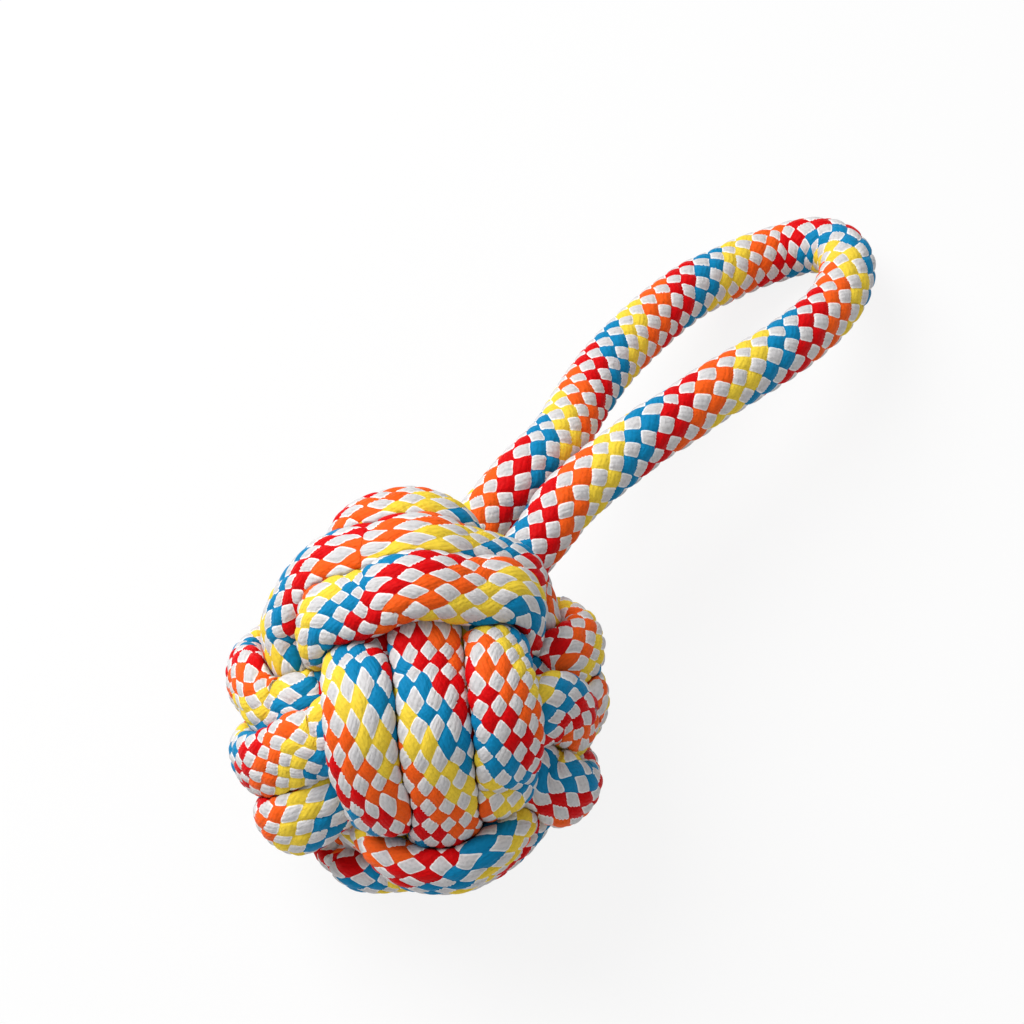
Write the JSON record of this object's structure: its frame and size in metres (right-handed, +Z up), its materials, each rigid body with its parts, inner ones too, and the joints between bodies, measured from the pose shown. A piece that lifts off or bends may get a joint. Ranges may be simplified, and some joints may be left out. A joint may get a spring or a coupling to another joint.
{
  "type": "rope dog toy",
  "caption": "Tug and throw toy for a dog: a ball knotted from checkered braided rope, with a long loop handle of the same rope that bends at the ball and folds over.",
  "frame": {"origin": "on the ground, under the middle of the toy's bounding box, as it lies with the ball on its knot and the loop's far side on the ground", "axes": "+X from the ball along the loop handle, +Z up"},
  "size_m": [0.1828, 0.0722, 0.0715],
  "materials": {
    "rope": "braided, with a soft sheen",
    "core": "matt"
  },
  "bodies": {
    "ball": {"core_knot": "core", "side_wrap": "rope", "front_wrap": "rope", "top_wrap": "rope", "near_root": "rope", "far_root": "rope"},
    "legs": {"near_leg": "rope", "far_leg": "rope"},
    "loop_end": {"bight": "rope"}
  },
  "joints": [
    {"name": "neck_lift", "type": "hinge", "parent": "ball", "child": "legs", "pos_m": [-0.00665, 0.00995, 0.03571], "axis": [0, -0.9277, 0.3734], "range_deg": [-60, 85], "stiffness_Nm_per_rad": 0.15},
    {"name": "loop_fold", "type": "hinge", "parent": "legs", "child": "loop_end", "pos_m": [0.03285, 0.00959, 0.02632], "axis": [0, -0.9206, 0.3905], "range_deg": [-75, 75], "stiffness_Nm_per_rad": 0.15}
  ]
}
